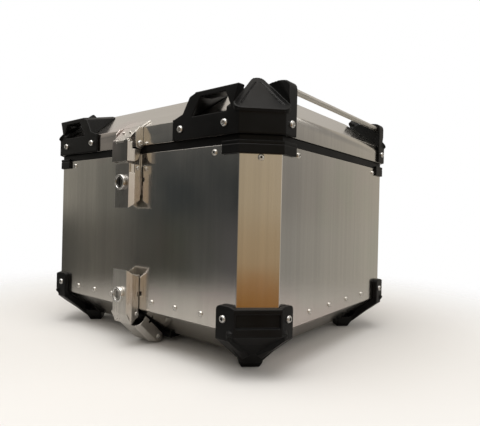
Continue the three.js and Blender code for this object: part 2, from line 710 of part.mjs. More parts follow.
function bracketBoltPiece() {
  const half = bracketHalf + gap;
  return bar('x', 2, bracketBolt.y, bracketBolt.z, -half - 1, half + 1, 10)
    .add(bar('x', 3.9, bracketBolt.y, bracketBolt.z, half, half + 2.2, 12))
    .add(bar('x', 3.9, bracketBolt.y, bracketBolt.z, -half - 3, -half, 6));
}

function hood() {
  const low = wallBase + 192.5;
  const high = hoodPivot.z;
  const sideTop = bracketBolt.z - 7.2;
  const shell = channel(20, 16.3, hoodFace, 9, frontY - 4.5, 1.5, low, high)
    .subtract(box(-25, 25, hoodFace + 6, 0, sideTop, high + 1));
  const sideView = plate(outline([
    [hoodFace - 1, low], [hoodFace + 9, low], [frontY - 8, low + 3, 2], [frontY - 4, sideTop], [frontY - 4, high + 1],
    [hoodFace - 1, high + 1],
  ]), 'x', -30, 30);
  const lip = box(-16, 16, hoodFace, hoodFace + 2.6, low, low + 1.3);
  const knuckles = join(
    bar('x', 3.8, hoodPivot.y, hoodPivot.z, 8, 16, 12),
    bar('x', 3.8, hoodPivot.y, hoodPivot.z, -16, -8, 12),
  );
  return join(shell.intersect(sideView), lip, knuckles)
    .subtract(bar('x', 4.1, hoodPivot.y, hoodPivot.z, -7.9, 7.9, 16))
    .subtract(bar('x', 1.9, hoodPivot.y, hoodPivot.z, -30, 30));
}

function hoodPin() {
  return bar('x', 1.6, hoodPivot.y, hoodPivot.z, -16.5, 16.5, 10);
}

// The rack arm: a channel that follows the pan's slope on the outside, hinged at its lower end.
const armPivot = { y: frontY + 34, z: 9.2 };
const armHalf = 18;
const armFront = 12.6;              // from the pin to the arm's flat front
const armBack = 7;
const armSpan = Math.hypot(lowerPivot.y - armPivot.y, lowerPivot.z - armPivot.z);
const armAngle = Math.atan2(armPivot.y - lowerPivot.y, lowerPivot.z - armPivot.z);

function rackArm() {
  const straight = channel(armHalf, leverFlat, -armFront, 6.6, armBack, latchSheet, -9, armSpan + 4);
  const sideView = plate(outline([
    ...disc(0, 0, armBack + 0.8, 225, 360, 6), [armBack, 4], [armBack, armSpan - 4], [armBack - 3, armSpan + 3],
    [-40, armSpan + 3], [-40, 7], [-armFront, 7],
  ]), 'x', -30, 30);
  const nose = plate(outline([
    ...disc(0, 0, armBack + 0.8, 225, 250, 2), ...disc(0, 0, armBack - 0.8, 250, 225, 2), [-armFront + 1.6, 7.5],
    [-armFront, 7],
  ]), 'x', -16, 16);
  const leverRoom = bar('x', 16.4, 0, armSpan, -30, 30, 16);
  const arm = join(straight.intersect(sideView), nose)
    .subtract(leverRoom)
    .subtract(bar('x', 2.3, 0, 0, -30, 30))
    .subtract(box(-30, 30, armBack - 3, armBack + 3, 24, 28));
  const geometry = geometryOf(arm);
  geometry.rotateX(armAngle);
  geometry.translate(0, armPivot.y, armPivot.z);
  return solidOf(geometry);
}

function rackArmPin() {
  return bar('x', 2, armPivot.y, armPivot.z, -armHalf - 0.4, armHalf + 0.4, 10)
    .add(bar('x', 3.4, armPivot.y, armPivot.z, armHalf + gap, armHalf + 1.9, 12))
    .add(bar('x', 3.4, armPivot.y, armPivot.z, -armHalf - 1.9, -armHalf - gap, 12));
}

// The black block under the pan carries the arm's pin between two lugs.
function rackBlock() {
  const base = box(-30, 30, armPivot.y + 12, armPivot.y + 46, 6.5, panBottom + 8);
  const spine = plate(outline([
    [frontY + 8, wallBase - 12], [armPivot.y - 2, 8], [armPivot.y + 12, 8], [armPivot.y + 12, 24],
    [frontY + 8, wallBase],
  ].reverse()), 'x', -13, 13).subtract(panForm(6, wallBase));
  const wedge = panForm(5, wallBase - 6).intersect(box(-13, 13, frontY + 5, armPivot.y + 8, 8, wallBase - 8));
  const lugs = plate(outline([
    ...disc(armPivot.y, armPivot.z, 5, 180, 315, 6), [armPivot.y + 14, 6.5], [armPivot.y + 14, 22],
    [armPivot.y - 5, 22],
  ]), 'x', -13, 13);
  return join(base, spine, wedge, lugs)
    .subtract(panForm(gap, wallBase + 30))
    .subtract(bar('x', 2.3, armPivot.y, armPivot.z, -40, 40, 10));
}

// ---------------------------------------------------------------- rear hinges and lid stays

const hingeHalf = 22;
const hingeMiddle = 48;
const knuckleRadius = 3.8;
const hingeRear = halfDepth + gap;
const hingeLidRear = halfDepth + lidOutset + gap;
const hingeBodySeats = [-1, 1].flatMap((side) => [-12, 12].map((dx) => (
  seat(side * hingeMiddle + dx, hingeRear + 2, hingeAxisZ - 32, facingRear))));
const hingeLidSeats = [-1, 1].flatMap((side) => [-12, 12].map((dx) => (
  seat(side * hingeMiddle + dx, hingeLidRear + 2, hingeAxisZ + 16, facingRear))));

function onThisSide(seats, middle) {
  return seats.filter(({ at }) => at.x * middle > 0);
}

function knuckleBand(middle, from, to) {
  return bar('x', knuckleRadius, hingeAxisY, hingeAxisZ, middle + from, middle + to, 12);
}

function hingeBodyLeaf(middle) {
  const leaf = box(middle - hingeHalf, middle + hingeHalf, hingeRear, hingeRear + 2, hingeAxisZ - 48, hingeAxisZ - 2);
  const webs = [[-hingeHalf, -7], [7, hingeHalf]].map(([from, to]) => plate(outline([
    [hingeRear, hingeAxisZ - 10], [hingeRear + 2, hingeAxisZ - 10], [hingeAxisY + 3.4, hingeAxisZ - 1.5],
    [hingeAxisY - 1, hingeAxisZ + 1], [hingeRear, hingeAxisZ - 3.5],
  ]), 'x', middle + from, middle + to));
  return join(leaf, ...webs, knuckleBand(middle, -hingeHalf, -7), knuckleBand(middle, 7, hingeHalf))
    .subtract(bar('x', 1.9, hingeAxisY, hingeAxisZ, middle - 40, middle + 40))
    .add(fasteners(onThisSide(hingeBodySeats, middle), latchRivet));
}

function hingeLidLeaf(middle) {
  const leaf = box(middle - hingeHalf, middle + hingeHalf, hingeLidRear, hingeLidRear + 2,
    hingeAxisZ + 5, lidBend - 1);
  const web = plate(outline([
    [hingeLidRear, hingeAxisZ + 3.5], [hingeAxisY - 1, hingeAxisZ - 1], [hingeAxisY + 3.4, hingeAxisZ + 1.5],
    [hingeLidRear + 2, hingeAxisZ + 9], [hingeLidRear, hingeAxisZ + 9],
  ]), 'x', middle - 6.7, middle + 6.7);
  return join(leaf, web, knuckleBand(middle, -6.7, 6.7))
    .subtract(bar('x', 1.9, hingeAxisY, hingeAxisZ, middle - 40, middle + 40))
    .add(fasteners(onThisSide(hingeLidSeats, middle), latchRivet));
}

function hingePin(middle) {
  return bar('x', 1.6, hingeAxisY, hingeAxisZ, middle - hingeHalf - 0.5, middle + hingeHalf + 0.5, 10);
}

// Small eyelet brackets for the strap that stops the open lid: one in the wall, one in the lid.
function stayAnchor(x, z, y, lean) {
  const tab = box(x - 1.5, x + 1.5, y - 9, y + 9, z - 7, z + 7);
  const foot = box(x - (lean > 0 ? 1.5 : 5), x + (lean > 0 ? 5 : 1.5), y - 9, y + 9, z - 7, z - 4.5);
  return join(tab, foot).subtract(bar('x', 2.5, y, z + 1.5, x - 9, x + 9, 10));
}

function wallStayAnchor() {
  return stayAnchor(halfWidth - sheet - gap - 1.5, wallTop - 26, 40, -1);
}

function lidStayAnchor() {
  return stayAnchor(halfWidth + lidOutset - sheet - gap - 1.5, lidRim + 16, 10, -1);
}

// ---------------------------------------------------------------- the assembly

const materials = {
  aluminium: { color: 0xb9b4a8, roughness: 0.25, metalness: 1 },
  steel: { color: 0xc2bfb8, roughness: 0.2, metalness: 1 },
  guard: { color: 0x1b1b1b, roughness: 0.55, metalness: 0 },
  trim: { color: 0x141414, roughness: 0.6, metalness: 0 },
  rubber: { color: 0x0d0d0d, roughness: 0.85, metalness: 0 },
  screw: { color: 0xb8b8b4, roughness: 0.3, metalness: 1 },
  chrome: { color: 0xd8d8d6, roughness: 0.12, metalness: 1 },
};

const topCase = new THREE.Group();

function addPiece(name, solid, material) {
  const mesh = new THREE.Mesh(geometryOf(solid), new THREE.MeshStandardMaterial(materials[material]));
  mesh.name = name;
  topCase.add(mesh);
}

addPiece('body_shell', bodyShell(), 'aluminium');
addPiece('bottom_pan', bottomPan(), 'aluminium');
addPiece('rim_trim', rimTrim(), 'trim');
addPiece('lid_shell', lidShell(), 'aluminium');
addPiece('lid_seal', lidSeal(), 'rubber');

const guard = lidGuard();
const block = wallBlock();
const foot = footGuard();
for (const { name, flipX, flipY } of corners) {
  addPiece(`lid_guard_${name}`, mirrored(guard, flipX, flipY), 'guard');
  addPiece(`wall_block_${name}`, mirrored(block, flipX, flipY), 'guard');
  addPiece(`foot_guard_${name}`, mirrored(foot, flipX, flipY), 'guard');
}

for (const [side, sign] of [['right', 1], ['left', -1]]) {
  const reach = -finInnerY + 8;
  addPiece(`side_rail_${side}`, bar('y', railRadius, sign * railX, railZ, -reach, reach, 12), 'steel');
}

lidScrewSeats.forEach((place, index) => {
  const corner = corners[Math.floor(index / 3)].name;
  const spot = ['inner', 'outer', 'side'][index % 3];
  addPiece(`lid_screw_${corner}_${spot}`, fasteners([place], guardScrew), 'screw');
});

addPiece('upper_lid_bracket', lidBracket(), 'steel');
addPiece('upper_bracket_bolt', bracketBoltPiece(), 'screw');
addPiece('upper_hood', hood(), 'steel');
addPiece('upper_hood_pin', hoodPin(), 'screw');
addPiece('upper_base_plate', upperBase(), 'steel');
addPiece('upper_lever', upperLever(), 'steel');
addPiece('upper_lever_pin', pivotPin(upperPivot, leverHalf + gap), 'screw');
addPiece('upper_lock_barrel', lockBarrel(upperLockZ), 'chrome');
addPiece('upper_lock_plug', lockPlug(upperLockZ), 'chrome');
addPiece('upper_lock_cam', lockCam(upperLockZ), 'steel');

addPiece('lower_base_plate', lowerBase(), 'steel');
addPiece('lower_lever', lowerLever(), 'steel');
addPiece('lower_lever_pin', pivotPin(lowerPivot, leverHalf + gap), 'screw');
addPiece('lower_lock_barrel', lockBarrel(lowerLockZ), 'chrome');
addPiece('lower_lock_plug', lockPlug(lowerLockZ), 'chrome');
addPiece('lower_lock_cam', lockCam(lowerLockZ), 'steel');
addPiece('rack_arm', rackArm(), 'steel');
addPiece('rack_arm_pin', rackArmPin(), 'screw');
addPiece('rack_block', rackBlock(), 'guard');

for (const [side, sign] of [['right', 1], ['left', -1]]) {
  addPiece(`hinge_${side}_body_leaf`, hingeBodyLeaf(sign * hingeMiddle), 'steel');
  addPiece(`hinge_${side}_lid_leaf`, hingeLidLeaf(sign * hingeMiddle), 'steel');
  addPiece(`hinge_${side}_pin`, hingePin(sign * hingeMiddle), 'screw');
}
addPiece('wall_stay_anchor', wallStayAnchor(), 'steel');
addPiece('lid_stay_anchor', lidStayAnchor(), 'steel');

export default topCase;
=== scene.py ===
# A hard aluminium motorcycle top case in a plain studio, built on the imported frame. Metres, +Z up.

import json
import math

import bmesh
import bpy
from mathutils import Matrix, Vector

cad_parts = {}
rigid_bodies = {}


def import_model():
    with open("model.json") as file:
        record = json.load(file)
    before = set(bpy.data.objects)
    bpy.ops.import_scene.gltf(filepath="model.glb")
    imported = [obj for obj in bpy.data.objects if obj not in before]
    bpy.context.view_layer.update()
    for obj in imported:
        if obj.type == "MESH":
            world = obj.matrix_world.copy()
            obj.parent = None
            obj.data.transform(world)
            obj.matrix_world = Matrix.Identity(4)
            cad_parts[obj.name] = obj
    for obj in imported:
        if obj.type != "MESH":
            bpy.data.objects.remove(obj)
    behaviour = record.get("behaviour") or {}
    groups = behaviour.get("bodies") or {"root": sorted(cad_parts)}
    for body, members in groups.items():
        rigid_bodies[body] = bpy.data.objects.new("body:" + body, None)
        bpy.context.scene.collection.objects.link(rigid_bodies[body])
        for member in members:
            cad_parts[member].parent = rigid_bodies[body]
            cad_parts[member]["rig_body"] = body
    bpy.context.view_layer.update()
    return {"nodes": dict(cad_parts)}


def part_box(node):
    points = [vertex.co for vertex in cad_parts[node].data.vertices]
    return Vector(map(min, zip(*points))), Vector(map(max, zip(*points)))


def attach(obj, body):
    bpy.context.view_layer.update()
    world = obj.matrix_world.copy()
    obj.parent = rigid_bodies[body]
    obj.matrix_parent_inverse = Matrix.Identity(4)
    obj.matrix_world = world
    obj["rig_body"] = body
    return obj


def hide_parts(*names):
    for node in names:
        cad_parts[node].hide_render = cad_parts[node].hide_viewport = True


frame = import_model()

nodes = frame["nodes"]

MM = 0.001
UP = Vector((0, 0, 1))
FRONT = Vector((0, -1, 0))
REAR = Vector((0, 1, 0))
RIGHT = Vector((1, 0, 0))
LEFT = Vector((-1, 0, 0))
ALONG_X = 0
ALONG_Y = 1
ALONG_Z = 2
CORNERS = {"front_right": (1, 1), "front_left": (-1, 1), "rear_right": (1, -1), "rear_left": (-1, -1)}

scene = bpy.context.scene
scene.view_settings.view_transform = "Standard"


# ---------------------------------------------------------------- camera

CAMERA_PLACE = Vector((0.46274, -0.52503, 0.18113))
CAMERA_HEADING = math.radians(38.70)     # turned left of the +Y axis
CAMERA_ROLL = math.radians(1.331)
CAMERA_LENS = 31.35                      # millimetres, on a sensor 36 mm wide
CAMERA_SENSOR = 36


def add_camera():
    data = bpy.data.cameras.new("camera")
    data.lens = CAMERA_LENS
    data.sensor_width = CAMERA_SENSOR
    camera = bpy.data.objects.new("camera", data)
    scene.collection.objects.link(camera)
    forward = Vector((-math.sin(CAMERA_HEADING), math.cos(CAMERA_HEADING), 0))
    level = Vector((math.cos(CAMERA_HEADING), math.sin(CAMERA_HEADING), 0))
    side = level * math.cos(CAMERA_ROLL) + UP * math.sin(CAMERA_ROLL)
    top = UP * math.cos(CAMERA_ROLL) - level * math.sin(CAMERA_ROLL)
    turn = Matrix((side, top, -forward)).transposed().to_4x4()
    camera.matrix_world = Matrix.Translation(CAMERA_PLACE) @ turn
    scene.camera = camera


add_camera()


# ---------------------------------------------------------------- shader nodes

class Shader:
    """Adds and links nodes in one material's or world's tree."""

    def __init__(self, owner):
        owner.use_nodes = True
        self.tree = owner.node_tree
        self.tree.nodes.clear()

    def add(self, kind, inputs=None, **settings):
        node = self.tree.nodes.new(kind)
        for name, value in settings.items():
            setattr(node, name, value)
        for name, value in (inputs or {}).items():
            self.put(node.inputs[name], value)
        return node

    def put(self, socket, value):
        if isinstance(value, bpy.types.NodeSocket):
            self.tree.links.new(value, socket)
        else:
            socket.default_value = value

    def mix(self, factor, first, second, blend="MIX"):
        node = self.add("ShaderNodeMix", data_type="RGBA", blend_type=blend)
        self.put(node.inputs[0], factor)
        self.put(node.inputs[6], first)
        self.put(node.inputs[7], second)
        return node.outputs[2]

    def math(self, operation, first, second=0.0):
        node = self.add("ShaderNodeMath", operation=operation)
        self.put(node.inputs[0], first)
        self.put(node.inputs[1], second)
        return node.outputs[0]

    def fit(self, value, low, high, to_low=0.0, to_high=1.0):
        inputs = {"Value": value, "From Min": low, "From Max": high, "To Min": to_low, "To Max": to_high}
        return self.add("ShaderNodeMapRange", inputs, interpolation_type="SMOOTHSTEP").outputs[0]

    def place(self, stretch=(1, 1, 1)):
        """Places on the piece in metres, each axis multiplied by its stretch."""
        coordinates = self.add("ShaderNodeTexCoord").outputs["Object"]
        return self.add("ShaderNodeMapping", {"Vector": coordinates, "Scale": stretch}).outputs[0]

    def noise(self, place, scale, detail=2.0, roughness=0.5):
        inputs = {"Vector": place, "Scale": scale, "Detail": detail, "Roughness": roughness}
        return self.add("ShaderNodeTexNoise", inputs).outputs["Fac"]

    def bump(self, height, distance, strength, over=None):
        node = self.add("ShaderNodeBump", {"Height": height, "Distance": distance, "Strength": strength})
        if over is not None:
            self.put(node.inputs["Normal"], over)
        return node.outputs[0]

    def finish_blend(self, factor, first, second, output="ShaderNodeOutputMaterial"):
        """Ends a tree with a blend of two shaders."""
        blend = self.add("ShaderNodeMixShader", {0: factor})
        self.put(blend.inputs[1], first.outputs[0])
        self.put(blend.inputs[2], second.outputs[0])
        self.put(self.add(output).inputs[0], blend.outputs[0])

    def finish(self, **inputs):
        """Ends a material with a Principled shader."""
        named = {name.replace("_", " "): value for name, value in inputs.items()}
        shader = self.add("ShaderNodeBsdfPrincipled", named)
        output = self.add("ShaderNodeOutputMaterial")
        self.tree.links.new(shader.outputs[0], output.inputs[0])


def grey(level, warmth=0.0):
    return (level * (1 + warmth), level, level * (1 - 1.6 * warmth), 1)


def stretched(grain, across, along):
    """A noise's stretch on each axis, with long features along the grain's axis."""
    stretch = [across, across, across]
    stretch[grain] = along
    return stretch


def scaled(colour, factor):
    return tuple(min(channel * factor, 1.0) for channel in colour[:3]) + (1,)


ROSY_TINT = (0.80, 0.66, 0.66, 1)
GREEN_TINT = (0.67, 0.72, 0.62, 1)


def brushed_metal(name, colour, grain, roughness, contrast, waviness=0.0):
    """Metal with fine lines along one axis (0 x, 1 y, 2 z), soft stains, an oily tint and slight waves."""
    material = bpy.data.materials.new(name)
    s = Shader(material)
    lines = s.noise(s.place(stretched(grain, across=1500.0, along=9.0)), 1.0, 2.0, 0.6)
    bands = s.noise(s.place(stretched(grain, across=160.0, along=2.2)), 1.0, 3.0, 0.6)
    stains = s.noise(s.place(), 11.0, 5.0, 0.55)
    oil = s.noise(s.place(), 7.0, 2.0)
    swell = s.noise(s.place(stretched(grain, across=13.0, along=3.0)), 1.0, 1.0)
    waves = s.bump(swell, waviness, 1.0)
    dark = scaled(colour, 1 - contrast)
    light = scaled(colour, 1 + contrast)
    banded = s.mix(s.fit(bands, 0.3, 0.7), dark, light)
    lined = s.mix(s.fit(lines, 0.25, 0.75, 0.0, 0.5), banded, dark)
    rosy = s.mix(s.fit(oil, 0.58, 0.72, 0.0, 0.35), lined, ROSY_TINT)
    tinted = s.mix(s.fit(oil, 0.42, 0.30, 0.0, 0.3), rosy, GREEN_TINT)
    clean = s.fit(stains, 0.35, 0.7, roughness * 0.85, roughness * 1.3)
    streaked = s.math("ADD", clean, s.fit(lines, 0.2, 0.8, -0.15 * roughness, 0.25 * roughness))
    s.finish(
        Base_Color=tinted,
        Metallic=1.0,
        Roughness=streaked,
        Normal=s.bump(lines, 0.00004, 0.35, over=waves),
    )
    return material


def bright_metal(name, colour, roughness):
    """Turned or cast metal: screws, rivets, pins and locks, with fine pits and cloudy stains."""
    material = bpy.data.materials.new(name)
    s = Shader(material)
    pits = s.noise(s.place(), 900.0, 4.0, 0.6)
    cloud = s.noise(s.place(), 140.0, 3.0)
    dark = scaled(colour, 0.78)
    s.finish(
        Base_Color=s.mix(s.fit(cloud, 0.3, 0.7), dark, colour),
        Metallic=1.0,
        Roughness=s.fit(pits, 0.3, 0.7, roughness * 0.75, roughness * 1.4),
        Normal=s.bump(pits, 0.00003, 0.3),
    )
    return material


def moulded_plastic(name, level, roughness, texture):
    """Black moulded plastic or rubber with a fine spark-eroded texture and a few greyish scuffs."""
    material = bpy.data.materials.new(name)
    s = Shader(material)
    grain = s.noise(s.place(), 1700.0, 3.0, 0.65)
    cloud = s.noise(s.place(), 26.0, 4.0)
    scuffs = s.noise(s.place((240.0, 240.0, 30.0)), 1.0, 5.0, 0.7)
    base = s.mix(s.fit(cloud, 0.3, 0.7), grey(level * 0.75), grey(level * 1.25, -0.02))
    worn = s.mix(s.fit(scuffs, 0.66, 0.8, 0.0, 0.3), base, grey(level * 3.2))
    s.finish(
        Base_Color=worn,
        Roughness=s.fit(cloud, 0.3, 0.7, roughness * 0.88, roughness * 1.14),
        Specular_IOR_Level=0.15,
        Normal=s.bump(grain, 0.00005, texture),
    )
    return material


ALUMINIUM = (0.74, 0.715, 0.675, 1)
LATCH_STEEL = (0.72, 0.695, 0.655, 1)

wall_metal = [
    brushed_metal(f"aluminium_{axis}", ALUMINIUM, grain, 0.14, 0.045, 0.9 * MM)
    for grain, axis in enumerate("xyz")
]
latch_metal = brushed_metal("latch_steel", LATCH_STEEL, ALONG_Z, 0.30, 0.06, 0.1 * MM)
# The upper lever's and the hood's fronts get darker copies of the latch steel: painted shade on the faces
# that look to the front.
lever_front_shade_metal = brushed_metal("lever_front_shaded_steel", (0.37, 0.36, 0.345, 1), ALONG_Z, 0.30, 0.08, 0.1 * MM)
hood_front_shade_metal = brushed_metal("hood_front_shaded_steel", (0.2, 0.2, 0.19, 1), ALONG_Z, 0.30, 0.08, 0.1 * MM)
rail_metal = brushed_metal("rail_steel", (0.68, 0.655, 0.61, 1), ALONG_Y, 0.3, 0.05)
chrome_metal = bright_metal("chrome", (0.83, 0.82, 0.8, 1), 0.09)
screw_metal = bright_metal("screw_steel", (0.74, 0.735, 0.72, 1), 0.26)
rivet_metal = bright_metal("rivet_aluminium", (0.78, 0.765, 0.73, 1), 0.3)
plug_metal = bright_metal("lock_core", (0.11, 0.107, 0.10, 1), 0.3)
worn_plug_metal = bright_metal("worn_lock_core", (0.52, 0.50, 0.47, 1), 0.3)
# Near-black metal for the insides of screw sockets, pin sockets and rivet pits: painted shade in those
# recesses.
pit_shade_metal = bright_metal("socket_shade", (0.09, 0.088, 0.085, 1), 0.5)
guard_plastic = moulded_plastic("guard_plastic", 0.0045, 0.36, 0.3)
trim_plastic = moulded_plastic("trim_plastic", 0.0035, 0.45, 0.25)
seal_rubber = moulded_plastic("seal_rubber", 0.0045, 0.75, 0.5)


# ---------------------------------------------------------------- mesh helpers

def new_object(name, mesh, materials):
    piece = bpy.data.objects.new(name, mesh)
    scene.collection.objects.link(piece)
    mesh.materials.clear()
    for material in materials:
        mesh.materials.append(material)
    return piece


def belongs(piece, node):
    """The piece stands for the CAD node and moves with it."""
    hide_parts(node)
    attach(piece, nodes[node]["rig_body"])


def joins(piece, body):
    """The piece is extra detail that moves with the body."""
    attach(piece, body)


def smooth(mesh):
    mesh.polygons.foreach_set("use_smooth", [True] * len(mesh.polygons))


def clean_copy(node):
    """The CAD node's shape as a bmesh with its triangles joined back into flat faces."""
    shape = bmesh.new()
    shape.from_mesh(nodes[node].data)
    bmesh.ops.remove_doubles(shape, verts=shape.verts, dist=0.002 * MM)
    bmesh.ops.dissolve_limit(
        shape, angle_limit=math.radians(0.4), use_dissolve_boundaries=False,
        verts=shape.verts, edges=shape.edges,
    )
    return shape


def mesh_of(shape, name):
    mesh = bpy.data.meshes.new(name)
    bmesh.ops.recalc_face_normals(shape, faces=shape.faces)
    shape.to_mesh(mesh)
    shape.free()
    return mesh


def round_edges(shape, width, sharper_than=20, longer_than=0.0, segments=2):
    """Rounds the edges that are sharp and long enough."""
    limit = math.radians(sharper_than)
    chosen = [
        edge for edge in shape.edges
        if len(edge.link_faces) == 2 and edge.calc_face_angle() > limit and edge.calc_length() > longer_than
    ]
    bmesh.ops.bevel(
        shape, geom=chosen, offset=width, offset_type="OFFSET", segments=segments, profile=0.5,
        affect="EDGES", clamp_overlap=False, miter_outer="ARC",
    )


UPRIGHT = 0.3     # a face whose normal rises less than this is upright


def paint_by_direction(mesh):
    """Gives upright faces vertical grain and the others grain along their level edge."""
    for polygon in mesh.polygons:
        normal = polygon.normal
        if abs(normal.z) < UPRIGHT:
            polygon.material_index = 2
        elif abs(normal.x) > abs(normal.y):
            polygon.material_index = 1
        else:
            polygon.material_index = 0


GROWTH = 0.2 * MM     # how far a moulding's faces are pushed back out after the softening


def moulded(mesh, voxel, passes, keep):
    """The mesh with every edge and corner rounded as in a moulding, and nothing below the ground."""
    piece = bpy.data.objects.new("moulding", mesh)
    scene.collection.objects.link(piece)
    remesh = piece.modifiers.new("remesh", "REMESH")
    remesh.mode = "VOXEL"
    remesh.voxel_size = voxel
    soften = piece.modifiers.new("soften", "SMOOTH")
    soften.factor = 0.5
    soften.iterations = passes
    grow = piece.modifiers.new("grow", "DISPLACE")
    grow.mid_level = 0
    grow.strength = GROWTH
    thin = piece.modifiers.new("thin", "DECIMATE")
    thin.ratio = keep
    evaluated = piece.evaluated_get(bpy.context.evaluated_depsgraph_get())
    result = bpy.data.meshes.new_from_object(evaluated)
    bpy.data.objects.remove(piece)
    for vertex in result.vertices:
        vertex.co.z = max(vertex.co.z, 0.0)
    smooth(result)
    return result


def mirrored(mesh, sign_x, sign_y):
    copy = mesh.copy()
    copy.transform(Matrix.Diagonal((sign_x, sign_y, 1, 1)))
    if sign_x * sign_y < 0:
        copy.flip_normals()
    return copy


HEXAGON = "hexagon"


def turned(profile, segments=24, pit_from=None):
    """A shape turned round +Z. Its profile runs (radius, height), and a hexagon's radius is to its flats.
    From the step numbered pit_from on, its faces take the second material."""
    shape = bmesh.new()
    rings = []
    for radius, height, *form in profile:
        ring = []
        for index in range(segments):
            angle = 2 * math.pi * index / segments
            reach = radius
            if form == [HEXAGON]:
                reach = radius / math.cos((angle + math.pi / 6) % (math.pi / 3) - math.pi / 6)
            ring.append(shape.verts.new((reach * math.cos(angle), reach * math.sin(angle), height)))
        rings.append(ring)
    for step, (below, above) in enumerate(zip(rings, rings[1:])):
        for index in range(segments):
            after = (index + 1) % segments
            face = shape.faces.new((below[index], below[after], above[after], above[index]))
            face.material_index = 0 if pit_from is None or step < pit_from else 1
    shape.faces.new(list(reversed(rings[0])))
    last = shape.faces.new(rings[-1])
    last.material_index = 0 if pit_from is None else 1
    return shape


def put_on(shape, place, facing):
    """Moves a shape made along +Z to its place, with +Z turned to the way it faces."""
    turn = UP.rotation_difference(facing).to_matrix().to_4x4()
    shape.transform(Matrix.Translation(place) @ turn)
    return shape


def gathered(shapes, name):
    """Several shapes as one mesh."""
    mesh = bpy.data.meshes.new(name)
    whole = bmesh.new()
    for shape in shapes:
        part = mesh_of(shape, "part")
        whole.from_mesh(part)
        bpy.data.meshes.remove(part)
    whole.to_mesh(mesh)
    whole.free()
    return mesh


def soft_shading(piece, angle=35):
    """Smooth shading that keeps flat faces flat, and edges sharper than the angle sharp."""
    smooth(piece.data)
    piece.data.set_sharp_from_angle(angle=math.radians(angle))
    flatten = piece.modifiers.new("flatten", "WEIGHTED_NORMAL")
    flatten.mode = "FACE_AREA"
    flatten.weight = 100
    flatten.keep_sharp = True


# ---------------------------------------------------------------- sheet metal: walls, pan and lid

FOLD_RADIUS = 0.7 * MM


def sheet_piece(node, name):
    shape = clean_copy(node)
    round_edges(shape, FOLD_RADIUS, sharper_than=25, longer_than=30 * MM, segments=3)
    mesh = mesh_of(shape, name)
    piece = new_object(name, mesh, wall_metal)
    paint_by_direction(mesh)
    soft_shading(piece)
    belongs(piece, node)


sheet_piece("body_shell", "wall_sheet")
sheet_piece("lid_shell", "lid_sheet")
sheet_piece("bottom_pan", "pan_sheet")


# ---------------------------------------------------------------- black plastic

def guard_piece(mesh, node, name):
    piece = new_object(name, mesh, [guard_plastic])
    belongs(piece, node)


def corner_guards(kind, name, voxel, passes, keep):
    """One moulding shaped from the front right corner and repeated, mirrored, at the others."""
    source = mesh_of(clean_copy(f"{kind}_front_right"), name)
    mesh = moulded(source, voxel, passes, keep)
    for corner, (sign_x, sign_y) in CORNERS.items():
        guard_piece(mirrored(mesh, sign_x, sign_y), f"{kind}_{corner}", f"{name}_{corner}")


def rack_guard():
    source = mesh_of(clean_copy("rack_block"), "rack")
    guard_piece(moulded(source, voxel=0.8 * MM, passes=3, keep=0.3), "rack_block", "rack_moulding")


def rim_moulding():
    trim = new_object("rim_moulding", mesh_of(clean_copy("rim_trim"), "rim_moulding"), [trim_plastic])
    soft_shading(trim)
    belongs(trim, "rim_trim")


def paint_seal():
    """The seal keeps its CAD shape and only gets its rubber."""
    materials = nodes["lid_seal"].data.materials
    materials.clear()
    materials.append(seal_rubber)


corner_guards("lid_guard", "lid_corner", voxel=0.7 * MM, passes=2, keep=0.22)
corner_guards("foot_guard", "foot_corner", voxel=0.6 * MM, passes=2, keep=0.25)
corner_guards("wall_block", "wall_corner", voxel=0.5 * MM, passes=2, keep=0.3)
rack_guard()
rim_moulding()
paint_seal()


# ---------------------------------------------------------------- screws, rivets and pins

def button_head(radius, height, socket):
    """A domed screw head with a hexagon socket."""
    return [
        (radius, -0.6 * MM), (radius, 0.25 * height), (radius * 0.93, 0.6 * height),
        (radius * 0.74, 0.9 * height), (radius * 0.62, height),
        (socket * 1.12, height), (socket, 0.93 * height, HEXAGON),
        (socket * 0.98, 0.3 * height, HEXAGON), (socket * 0.5, 0.2 * height), (CORE, 0.2 * height),
    ]


def blind_rivet(radius, height):
    """A domed rivet with the pit that its broken stem leaves."""
    return [
        (radius, -0.3 * MM), (radius, 0.12 * height), (radius * 0.9, 0.55 * height),
        (radius * 0.68, 0.88 * height), (radius * 0.48, height),
        (radius * 0.36, 0.92 * height), (radius * 0.33, 0.45 * height),
        (CORE, 0.4 * height),
    ]


SCREW_RADIUS = 4.4 * MM
SCREW_HEIGHT = 2.7 * MM
SCREW_SOCKET = 1.7 * MM
RIVET_RADIUS = 3.4 * MM
RIVET_HEIGHT = 1.7 * MM
TRIM_RIVET_RADIUS = 3.6 * MM
CORE = 0.02 * MM      # the radius of the tiny flat that ends a turned pit
SCREW_PIT = 6         # the profile step at which a screw's socket starts
RIVET_PIT = 5


def screw_shape(place, facing):
    head = button_head(SCREW_RADIUS, SCREW_HEIGHT, SCREW_SOCKET)
    return put_on(turned(head, pit_from=SCREW_PIT), place, facing)


def rivet_shape(place, facing, radius=RIVET_RADIUS):
    head = blind_rivet(radius, RIVET_HEIGHT)
    return put_on(turned(head, pit_from=RIVET_PIT), place, facing)


def fastener_piece(shapes, name, metal):
    mesh = gathered(shapes, name)
    piece = new_object(name, mesh, [metal, pit_shade_metal])
    soft_shading(piece, 40)
    return piece


def centre(node):
    low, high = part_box(node)
    return (low + high) / 2


wall_low, wall_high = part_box("body_shell")
CLEARANCE = 0.3 * MM
GUARD_PROUD = 5 * MM
FOOT_PROUD = 6.1 * MM
CORNER_LEG = 33.3 * MM


def mirrored_seats(seats):
    """Seats given for the front right quarter, repeated in all four."""
    return [
        (Vector((place.x * sx, place.y * sy, place.z)), Vector((facing.x * sx, facing.y * sy, facing.z)))
        for place, facing in seats
        for sx, sy in CORNERS.values()
    ]


